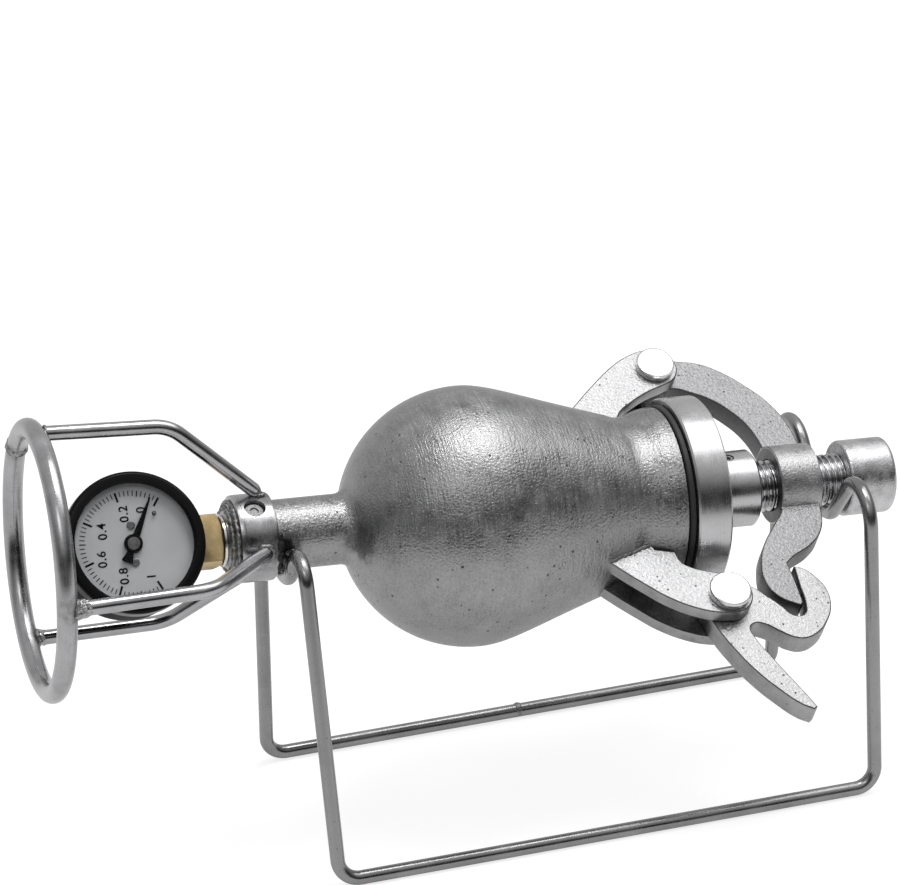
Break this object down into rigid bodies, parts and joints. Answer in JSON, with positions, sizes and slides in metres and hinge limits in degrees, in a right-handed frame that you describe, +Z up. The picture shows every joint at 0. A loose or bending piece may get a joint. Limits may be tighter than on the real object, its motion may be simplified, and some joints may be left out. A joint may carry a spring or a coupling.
{
  "type": "hand-crank popcorn maker",
  "caption": "Rod stand carrying a hand-turned pressure vessel with a crank wheel, a pressure gauge, and a mouth lid held by a clamp screw and a kick trigger.",
  "frame": {"origin": "on the ground, in the middle of the stand", "axes": "+X along the vessel from the crank wheel to the clamp screw, +Y away from the side that is pictured, +Z up"},
  "size_m": [0.412, 0.1866, 0.217],
  "materials": {
    "stand_rod": "satin",
    "wheel_ring": "satin",
    "wheel_spoke_top": "polished",
    "wheel_spoke_front": "polished",
    "wheel_spoke_rear": "polished",
    "collar": "satin",
    "collar_set_screw": "satin",
    "vessel": "tool-marked, satin",
    "upper_lug_front": "bright satin",
    "upper_lug_rear": "bright satin",
    "lower_lug_front": "bright satin",
    "lower_lug_rear": "bright satin",
    "clamp_arm": "satin",
    "arm_pin": "polished",
    "trigger_pin": "polished",
    "trigger": "bright satin",
    "mouth_gasket": "matt",
    "lid": "turned, polished",
    "lid_grub_screw": "satin",
    "clamp_screw": "bright thread, brushed head",
    "brass_adapter": "satin",
    "sealing_washer": "polished",
    "gauge_case": "black, semi-gloss",
    "gauge_bezel": "black, semi-gloss",
    "gauge_window": "clear",
    "gauge_dial": "silver-white, satin",
    "gauge_stem": "machined",
    "gauge_bourdon_tube": "drawn",
    "gauge_movement": "machined",
    "gauge_dial_screw_a": "satin",
    "gauge_dial_screw_b": "satin",
    "gauge_stop_pin": "satin",
    "gauge_needle": "black"
  },
  "bodies": {
    "stand": {"stand_rod": "stand_rod"},
    "drum": {"wheel_ring": "wheel_ring", "wheel_spoke_top": "wheel_spoke_top", "wheel_spoke_front": "wheel_spoke_front", "wheel_spoke_rear": "wheel_spoke_rear", "collar": "collar", "collar_set_screw": "collar_set_screw", "vessel": "vessel", "upper_lug_front": "upper_lug_front", "upper_lug_rear": "upper_lug_rear", "lower_lug_front": "lower_lug_front", "lower_lug_rear": "lower_lug_rear", "clamp_arm": "clamp_arm", "arm_pin": "arm_pin", "trigger_pin": "trigger_pin", "mouth_gasket": "mouth_gasket", "brass_adapter": "brass_adapter", "sealing_washer": "sealing_washer", "gauge_case": "gauge_case", "gauge_bezel": "gauge_bezel", "gauge_window": "gauge_window", "gauge_dial": "gauge_dial", "gauge_stem": "gauge_stem", "gauge_bourdon_tube": "gauge_bourdon_tube", "gauge_movement": "gauge_movement", "gauge_dial_screw_a": "gauge_dial_screw_a", "gauge_dial_screw_b": "gauge_dial_screw_b", "gauge_stop_pin": "gauge_stop_pin"},
    "lid": {"lid": "lid", "lid_grub_screw": "lid_grub_screw"},
    "screw": {"clamp_screw": "clamp_screw"},
    "trigger": {"trigger": "trigger"},
    "needle": {"gauge_needle": "gauge_needle"}
  },
  "joints": [
    {"name": "drum_spin", "type": "hinge", "parent": "stand", "child": "drum", "pos_m": [-0.0438, 0, 0.1424], "axis": [0.9981, 0, -0.0614], "continuous": true},
    {"name": "lid_press", "type": "slide", "parent": "drum", "child": "lid", "axis": [0.9981, 0, -0.0614], "range_m": [0, 0.006]},
    {"name": "screw_turn", "type": "hinge", "parent": "lid", "child": "screw", "pos_m": [-0.0438, 0, 0.1424], "axis": [0.9981, 0, -0.0614], "range_deg": [0, 720]},
    {"name": "trigger_kick", "type": "hinge", "parent": "drum", "child": "trigger", "pos_m": [0.05888, -0.05742, 0.10307], "axis": [-0.0533, 0.4977, -0.8657], "range_deg": [0, 50]},
    {"name": "gauge_needle_turn", "type": "hinge", "parent": "drum", "child": "needle", "pos_m": [-0.2022, 0, 0.15214], "axis": [0.0339, -0.8339, 0.5509], "range_deg": [0, 242], "stiffness_Nm_per_rad": 0.0004}
  ],
  "couplings": [
    {"joint": "screw_turn", "follows": "lid_press", "rad_per_m": 2094.4}
  ]
}
